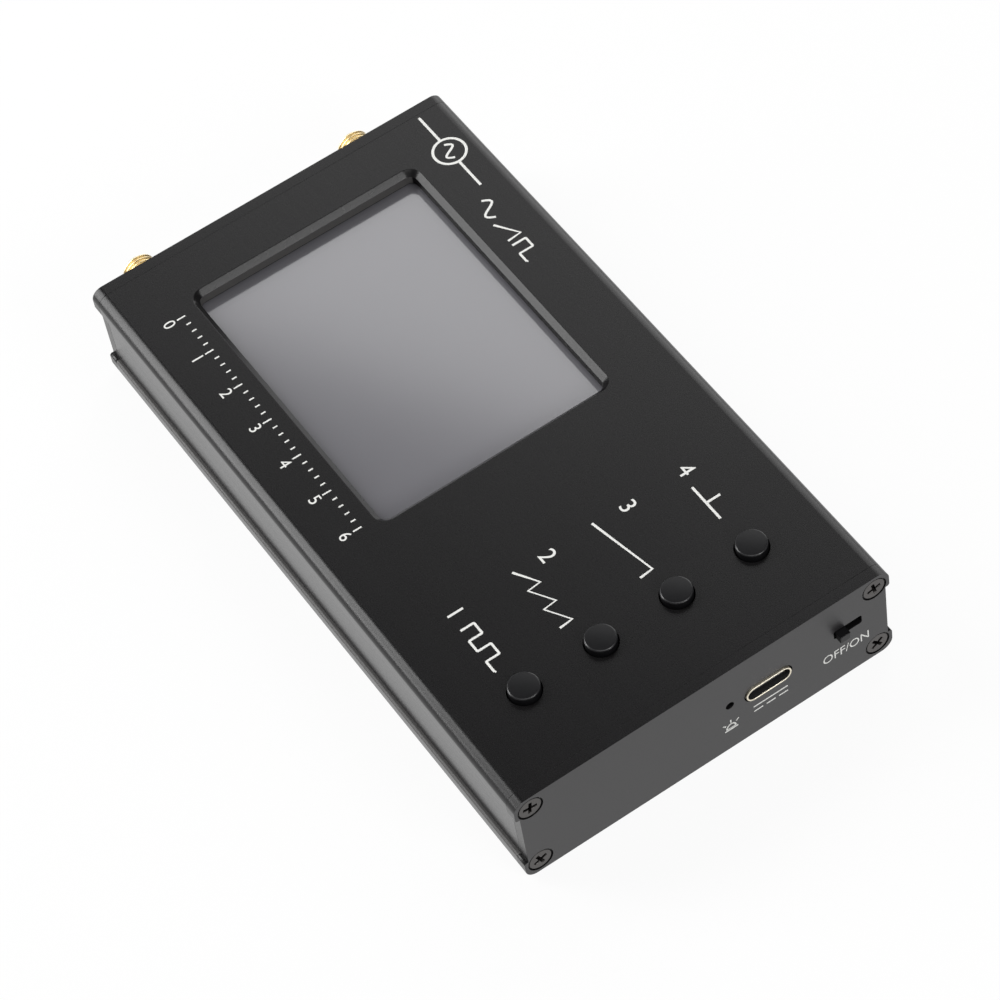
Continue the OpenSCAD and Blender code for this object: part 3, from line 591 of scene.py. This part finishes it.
# Faces inside the shell, away from the lip, take the painted shade.
for face in bm.faces:
    spot = face.calc_center_median()
    along = max(-half_run, min(half_run, spot.y - middle.y))
    outward = Vector((0, spot.y - along - middle.y, spot.z - middle.z))
    shines = spot.x > high.x - LIP_DEPTH or outward.dot(face.normal) > 0
    face.material_index = BRIGHT if shines else SHADE_INSIDE
close_piece("socket_shell", bm, [bright_lip, shell_painted_shade], stands_for=["usb_shell"])

# %% Contacts on the socket's tongue
PADS, PAD_PITCH, PAD_W, PAD_L, PAD_T = 12, 0.5 * MM, 0.26 * MM, 3.6 * MM, 0.04 * MM
PAD_INSET, PAD_EDGE, TONGUE_HALF = 0.3 * MM, 0.015 * MM, 0.35 * MM
pad_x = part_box("usb_tongue")[1].x - PAD_INSET - PAD_L / 2
bm = bmesh.new()
for side in (-1, 1):
    for k in range(PADS):
        pad = bmesh.ops.create_cube(bm, size=1.0)["verts"]
        bmesh.ops.scale(bm, verts=pad, vec=(PAD_L, PAD_W, PAD_T))
        pad_y = middle.y + (k - (PADS - 1) / 2) * PAD_PITCH
        bmesh.ops.translate(bm, verts=pad, vec=(pad_x, pad_y, middle.z + side * TONGUE_HALF))
break_edges(bm, PAD_EDGE, segments=1)
close_piece("socket_contacts", bm, [gold])

# %% [markdown]
# ## Charge lamp
# Behind the small hole in the plate sits a lamp with a clear domed tip. It is off, so it only gives
# a faint glint in the dark hole. A quarter outline, spun about the hole's axis, makes the dome.

# %% Lamp lens
DOME_STEPS = 8
SHANK_SHARE = 0.4
low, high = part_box("charge_lamp_lens")
lens_r = (high.y - low.y) / 2
lens_l = high.x - low.x
quarter_turn = [k * pi / 2 / DOME_STEPS for k in range(DOME_STEPS + 1)]
outline = [(0.0, 0.0), (lens_r, 0.0)]
outline += [(lens_r * cos(turn), lens_l * (SHANK_SHARE + (1 - SHANK_SHARE) * sin(turn)))
            for turn in quarter_turn]
bm = bmesh.new()
centre = Vector((low.x, (low.y + high.y) / 2, (low.z + high.z) / 2))
spin_outline(bm, outline, centre, (1, 0, 0), 32)
close_piece("lamp_lens", bm, [slot_finish["lamp_lens"]], stands_for=["charge_lamp_lens"])

# %% [markdown]
# ## Coaxial jacks
# The jacks are turned brass with a fine thread of 36 to the inch, gold plated. The CAD barrel is
# smooth at the thread's crest. In the copy it is drawn in to the thread's root, and a ridge is
# wound on it: four corners of a tooth, spun for several turns while each step also moves along the
# axis.

# %% Winding a thread
THREAD_PITCH = 25.4 / 36 * MM
CREST_R, ROOT_R = 3.175 * MM, 2.8 * MM
TOOTH_FOOT, TOOTH_TIP, TOOTH_SUNK = 0.33 * MM, 0.06 * MM, 0.08 * MM
TURN_STEPS = 48


def sweep_ring(bm, corners, **spin):
    """Spin a closed ring of corners part of a turn or more, and close both its ends."""
    ring = [bm.verts.new(corner) for corner in corners]
    edges = [bm.edges.new(pair) for pair in zip(ring, ring[1:] + ring[:1])]
    bm.faces.new(ring)
    swept = bmesh.ops.spin(bm, geom=ring + edges, use_merge=False, **spin)["geom_last"]
    bm.faces.new([v for v in swept if isinstance(v, bmesh.types.BMVert)])


def wind_thread(bm, centre, start, turns):
    """Wind a ridge about the -X axis, from a distance along it."""
    axis = Vector((-1, 0, 0))
    foot_r = ROOT_R - TOOTH_SUNK
    tooth = [(foot_r, -TOOTH_FOOT), (CREST_R, -TOOTH_TIP), (CREST_R, TOOTH_TIP),
             (foot_r, TOOTH_FOOT)]
    corners = [centre + Vector((0, 0, radius)) + axis * (start + along) for radius, along in tooth]
    steps = round(TURN_STEPS * turns)
    sweep_ring(bm, corners, cent=centre, axis=axis, dvec=axis * (THREAD_PITCH / TURN_STEPS),
               angle=steps * 2 * pi / TURN_STEPS, steps=steps)


# %% Threaded jacks
THREAD_START, THREAD_TURNS = 0.45 * MM, 6.2
MOUTH_EDGE, BARREL_END = 0.06 * MM, 0.05 * MM
rear_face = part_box("rear_plate")[0].x
drawn_in = ROOT_R / CREST_R
for side in ("left", "right"):
    jack = f"rf_jack_{side}"
    low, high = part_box(jack)
    centre = Vector((rear_face, (low.y + high.y) / 2, (low.z + high.z) / 2))
    bm = cad_copy(jack)
    barrel = [v for v in bm.verts
              if v.co.x < rear_face + BARREL_END and (v.co - centre).yz.length > ROOT_R]
    to_axis = Matrix.Translation(-centre)
    bmesh.ops.scale(bm, verts=barrel, vec=(1, drawn_in, drawn_in), space=to_axis)
    break_edges(bm, MOUTH_EDGE, lambda e: lies_at(e, X, low.x))
    wind_thread(bm, centre, THREAD_START, THREAD_TURNS)
    bmesh.ops.recalc_face_normals(bm, faces=bm.faces)
    close_piece(f"threaded_jack_{side}", bm, [gold], stands_for=[jack], crease=25)

# %% [markdown]
# ## Centre contacts
# A jack's centre contact is a small tube, slit into four fingers that grip the plug's pin. The CAD
# tube is plain. The copy is cut where the slits begin, closed there, and four fingers are spun on,
# each a little less than a quarter turn.

# %% Slit contacts
CONTACT_R, PIN_R = 0.635 * MM, 0.46 * MM
SLIT_L, SLIT_DEGREES = 2.2 * MM, 12
tip_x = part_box("rf_contacts")[0].x
slit_x = tip_x + SLIT_L
finger_l = slit_x - tip_x
wall = [(CONTACT_R, 0.0), (PIN_R, 0.0), (PIN_R, finger_l), (CONTACT_R, finger_l)]
bm = cad_copy("rf_contacts")
bmesh.ops.bisect_plane(
    bm, geom=bm.verts[:] + bm.edges[:] + bm.faces[:],
    plane_co=(slit_x, 0, 0), plane_no=(1, 0, 0), clear_inner=True,
)
rims = [e for e in bm.edges if e.is_boundary]
for side in (-1, 1):
    bmesh.ops.bridge_loops(bm, edges=[e for e in rims if e.verts[0].co.y * side > 0])
for jack in ("rf_jack_left", "rf_jack_right"):
    low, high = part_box(jack)
    centre = Vector((tip_x, (low.y + high.y) / 2, (low.z + high.z) / 2))
    for quarter in range(4):
        turn = Matrix.Rotation(quarter * pi / 2 + radians(SLIT_DEGREES / 2), 3, "X")
        corners = [centre + turn @ Vector((along, 0, radius)) for radius, along in wall]
        sweep_ring(bm, corners, cent=centre, axis=(1, 0, 0),
                   angle=radians(90 - SLIT_DEGREES), steps=8)
bmesh.ops.recalc_face_normals(bm, faces=bm.faces)
close_piece("slit_contacts", bm, [gold], stands_for=["rf_contacts"])

# %% [markdown]
# ## White print
# The markings are screen printed: a film of white ink about two hundredths thick. Text and lines
# are drawn flat, made a mesh, and only then laid on the case. Lines are round curves pressed flat,
# which keeps their width round every bend. The marks are plain signs: a generator's circuit symbol,
# wave forms, numbers on a scale and at the buttons, direct current, a lamp, and the switch's ON and
# OFF.

# %% Drawing with ink
INK_T = 0.02 * MM
TOP = Matrix.Translation((-0.2 * MM, 0.27 * MM, case_high.z))
front_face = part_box("front_plate")[1].x
FRONT = Matrix(((0, 0, 1, front_face), (1, 0, 0, 0.18 * MM), (0, 1, 0, 0), (0, 0, 0, 1)))


def flat_mesh(data):
    """Make a curve or text a mesh, before any place is applied."""
    holder = bpy.data.objects.new("drawing", data)
    bpy.context.scene.collection.objects.link(holder)
    graph = bpy.context.evaluated_depsgraph_get()
    mesh = bpy.data.meshes.new_from_object(holder.evaluated_get(graph))
    bpy.data.objects.remove(holder)
    return mesh


def ink_line(bm, points, width, face, closed=False):
    """A line of an even width through points in mm."""
    curve = bpy.data.curves.new("line", "CURVE")
    curve.dimensions = "3D"
    curve.bevel_depth = width * MM / 2
    curve.bevel_resolution = 2
    curve.use_fill_caps = True
    spline = curve.splines.new("POLY")
    spline.points.add(len(points) - 1)
    for point, (x, y) in zip(spline.points, points):
        point.co = (x * MM, y * MM, 0, 1)
    spline.use_cyclic_u = closed
    mesh = flat_mesh(curve)
    mesh.transform(face @ Matrix.Diagonal((1, 1, INK_T / curve.bevel_depth, 1)))
    bm.from_mesh(mesh)


def ink_text(bm, words, height, x, y, face, width=None):
    """Words of a cap height, centred on a place in mm, and condensed to a width if it is given."""
    text = bpy.data.curves.new("words", "FONT")
    text.body = words
    text.align_x = text.align_y = "CENTER"
    text.extrude = 1.0
    mesh = flat_mesh(text)
    reach = [v.co.y for v in mesh.vertices]
    run = [v.co.x for v in mesh.vertices]
    size = height * MM / (max(reach) - min(reach))
    along = width * MM / (max(run) - min(run)) if width else size
    middle = Vector((max(run) + min(run), max(reach) + min(reach), 0)) / 2
    shrink = Matrix.Diagonal((along, size, INK_T, 1)) @ Matrix.Translation(-middle)
    mesh.transform(face @ Matrix.Translation((x * MM, y * MM, 0)) @ shrink)
    bm.from_mesh(mesh)


# %% Wave forms as signs
WAVE_STEPS = 12


def sine_points(x, y, length, height):
    """One turn of a sine wave that runs along X."""
    return [(x + length * k / WAVE_STEPS, y + height / 2 * sin(2 * pi * (k / WAVE_STEPS)))
            for k in range(WAVE_STEPS + 1)]


def square_points(x, y, length, height, count):
    """Square wave with its corners cut a little, so that the line keeps its width."""
    step, cut = length / (2 * count), 0.12
    points = [(x, y - height / 2)]
    for k in range(2 * count):
        rise = height / 2 if k % 2 == 0 else -height / 2
        below = y + rise - cut * (1 if rise > 0 else -1)
        left, right = x + k * step, x + (k + 1) * step
        points += [(left, below), (left + cut, y + rise)]
        points += [(right - cut, y + rise), (right, below)]
    return points + [(x + length, y - height / 2)]


def ramp_points(x, y, length, height, count):
    """Saw teeth: a slow rise and a steep fall, count times."""
    step, fall = length / count, 0.25
    points = []
    for k in range(count):
        points += [(x + k * step, y - height / 2), (x + (k + 1) * step - fall, y + height / 2)]
    return points + [(x + length, y - height / 2)]


# %% Print on the display face
LINE, BOLD, TICK = 0.46, 0.5, 0.3
SIGN_X, SIGN_Y, SIGN_R, SIGN_STEPS = -53.0, 30.0, 3.0, 48
SCALE_X, SCALE_Y, SCALE_STEP = -51.0, -26.4, 9.5
bm = bmesh.new()
turns = [2 * pi * k / SIGN_STEPS for k in range(SIGN_STEPS)]
circle = [(SIGN_X + SIGN_R * cos(turn), SIGN_Y + SIGN_R * sin(turn)) for turn in turns]
ink_line(bm, circle, BOLD, TOP, closed=True)
ink_line(bm, sine_points(-54.8, SIGN_Y, 3.6, 2.4), 0.45, TOP)
ink_line(bm, [(-63.0, SIGN_Y), (-56.0, SIGN_Y)], BOLD, TOP)
ink_line(bm, [(-50.0, SIGN_Y), (-43.0, SIGN_Y)], BOLD, TOP)
ink_line(bm, sine_points(-39.8, 28.0, 4.6, 2.8), LINE, TOP)
ink_line(bm, ramp_points(-33.9, 28.0, 4.6, 2.8, 1), LINE, TOP)
ink_line(bm, square_points(-28.0, 28.0, 4.6, 2.8, 1), LINE, TOP)
for k in range(31):
    x = SCALE_X + k * SCALE_STEP / 5
    long = 1.7 if k % 5 == 0 else 0.9
    ink_line(bm, [(x, SCALE_Y - long), (x, SCALE_Y)], TICK, TOP)
for k in range(7):
    ink_text(bm, str(k), 2.2, SCALE_X + k * SCALE_STEP, -29.6, TOP)
close_piece("scale_print", bm, [white_ink])

# %% Print at the buttons
bm = bmesh.new()
for k, y in zip(BUTTONS, (-23.6, -5.4, 10.6, 22.3)):
    ink_text(bm, str(k), 3.0, 30.0, y, TOP)
ink_line(bm, square_points(33.5, -23.6, 10.0, 2.6, 2), LINE, TOP)
ink_line(bm, ramp_points(29.2, -10.6, 13.8, 2.6, 3), LINE, TOP)
ink_line(bm, ramp_points(29.2, 5.2, 13.8, 2.6, 1), LINE, TOP)
ink_line(bm, [(33.5, 21.0), (41.5, 21.0)], LINE, TOP)
ink_line(bm, [(37.5, 21.0), (37.5, 23.8)], LINE, TOP)
close_piece("button_print", bm, [white_ink])

# %% Print on the front plate
DASH_X, DASH_STEP, CURRENT_LINE = 8.6, 2.5, 0.34
LAMP_X, LAMP_Y = 4.05, 5.75
bm = bmesh.new()
ink_text(bm, "OFF/ON", 2.05, 27.2, 7.5, FRONT, width=9.2)
ink_line(bm, [(DASH_X, 7.4), (15.4, 7.4)], CURRENT_LINE, FRONT)
for k in range(3):
    dash = [(DASH_X + DASH_STEP * k, 6.1), (10.4 + DASH_STEP * k, 6.1)]
    ink_line(bm, dash, CURRENT_LINE, FRONT)
ink_line(bm, [(2.75, 5.35), (5.35, 5.35)], 0.4, FRONT)
half_turn = [pi * k / 12 for k in range(13)]
dome = [(LAMP_X + 0.9 * cos(turn), LAMP_Y + 1.05 * sin(turn)) for turn in half_turn]
ink_line(bm, dome, 0.3, FRONT, closed=True)
for angle in (45, 90, 135):
    ray = Vector((cos(radians(angle)), sin(radians(angle))))
    ink_line(bm, [Vector((LAMP_X, LAMP_Y)) + ray * reach for reach in (1.45, 2.2)], 0.28, FRONT)
close_piece("plate_print", bm, [white_ink])

# %% [markdown]
# ## Camera
# The camera is where the photograph's edges put it: high above the front left corner, with a long
# lens and a small roll. The lens is given on a 36 mm sensor for a square picture.

# %% Camera
CAMERA_AT = Vector((0.36109, -0.16643, 0.53785))
CAMERA_AIM = Vector((0.00847, -0.00173, 0.011))
CAMERA_ROLL = radians(-10.885)
lens = bpy.data.cameras.new("camera")
lens.sensor_width = 36.0
lens.lens = 140.18
camera = bpy.data.objects.new("camera", lens)
aim = (CAMERA_AIM - CAMERA_AT).to_track_quat("-Z", "Y").to_matrix().to_4x4()
camera.matrix_world = Matrix.Translation(CAMERA_AT) @ aim @ Matrix.Rotation(CAMERA_ROLL, 4, "Z")
bpy.context.scene.collection.objects.link(camera)
bpy.context.scene.camera = camera
from_above = degrees((CAMERA_AT - CAMERA_AIM).angle((0, 0, 1)))
print("camera looks down by", round(90 - from_above, 1), "degrees")

# %% [markdown]
# ## Floor and light
# A black, satin object is seen by what it mirrors. The back softbox stands where the top and the
# glass mirror it towards the camera, and its front edge gives them their fall from light to dark.
# The left one lights the flank, the right one the front plate and the far one the right edge. The
# upper one fills in from above. The floor is white to the camera and to mirrors, but keeps the
# object's shadow.

# %% Floor
FLOOR_HALF, FLOOR_GAP, FLOOR_GLOW = 4.0, 0.1 * MM, 0.92
bm = bmesh.new()
bmesh.ops.create_grid(bm, x_segments=1, y_segments=1, size=FLOOR_HALF)
mesh = bpy.data.meshes.new("floor")
bm.to_mesh(mesh)
bm.free()
floor = bpy.data.objects.new("floor", mesh)
mesh.transform(Matrix.Translation((0, 0, cad_box[0].z - FLOOR_GAP)))
bpy.context.scene.collection.objects.link(floor)
floor_white, place = new_finish("floor_white")
paper = blend(noise(place, 300.0), (0.86, 0.86, 0.86), (0.9, 0.9, 0.9))
matte = place.node("ShaderNodeBsdfDiffuse", None, {"Color": paper})
glow = place.node("ShaderNodeEmission", None, {"Strength": 1.0})
seen, mirrored, through = (
    place.node("ShaderNodeLightPath", out=f"Is {ray} Ray")
    for ray in ("Camera", "Glossy", "Transmission")
)
shown = (seen + mirrored + through) * FLOOR_GLOW
surface = place.node("ShaderNodeMixShader", None, {0: shown, 1: matte, 2: glow})
place.node("ShaderNodeOutputMaterial", None, {"Surface": surface})
mesh.materials.append(floor_white)
print("floor at", round(mesh.vertices[0].co.z / MM, 2), "mm")

# %% Surroundings
ROOM_LEVEL, WHITE = 0.12, (1, 1, 1, 1)
world = bpy.data.worlds.new("studio")
world.use_nodes = True
world.node_tree.nodes.clear()
sky = Shade(world.node_tree)
room, bright = (
    sky.node("ShaderNodeBackground", None, {"Color": WHITE, "Strength": level})
    for level in (ROOM_LEVEL, 1.0)
)
seen = sky.node("ShaderNodeLightPath", out="Is Camera Ray")
surface = sky.node("ShaderNodeMixShader", None, {0: seen, 1: room, 2: bright})
sky.node("ShaderNodeOutputWorld", None, {"Surface": surface})
bpy.context.scene.world = world
print("room light:", ROOM_LEVEL)

# %% Softboxes
def softbox(name, place, aim, width, height, level, roll=0.0):
    """An area lamp of a radiance, so that its size can change without its brightness."""
    lamp = bpy.data.lights.new(name, "AREA")
    lamp.shape = "RECTANGLE"
    lamp.size, lamp.size_y = width, height
    lamp.energy = level * pi * width * height
    holder = bpy.data.objects.new(name, lamp)
    turn = (Vector(aim) - Vector(place)).to_track_quat("-Z", "Y").to_matrix().to_4x4()
    holder.matrix_world = Matrix.Translation(place) @ turn @ Matrix.Rotation(radians(roll), 4, "Z")
    bpy.context.scene.collection.objects.link(holder)
    print(f"{name}: {lamp.energy:.2f} W")


softbox("back_softbox", (-0.727, 0.385, 0.786), (-0.022, -0.009, 0.018), 0.9, 0.35, 2.05, -25.6)
softbox("left_softbox", (-0.63, -0.64, 0.515), (0.0, 0.0, 0.0), 0.32, 1.1, 9.0, 25.0)
softbox("right_softbox", (0.92, 0.29, 0.62), (0.0, 0.0, 0.02), 0.4, 0.4, 10.0)
softbox("far_softbox", (-0.6, 0.84, 0.42), (0.0, 0.0, 0.02), 0.55, 0.8, 2.5)
softbox("upper_softbox", (0.55, -0.3, 1.4), (0.0, 0.0, 0.02), 1.0, 1.0, 1.8)

# %% View settings
bpy.context.scene.view_settings.view_transform = "Standard"
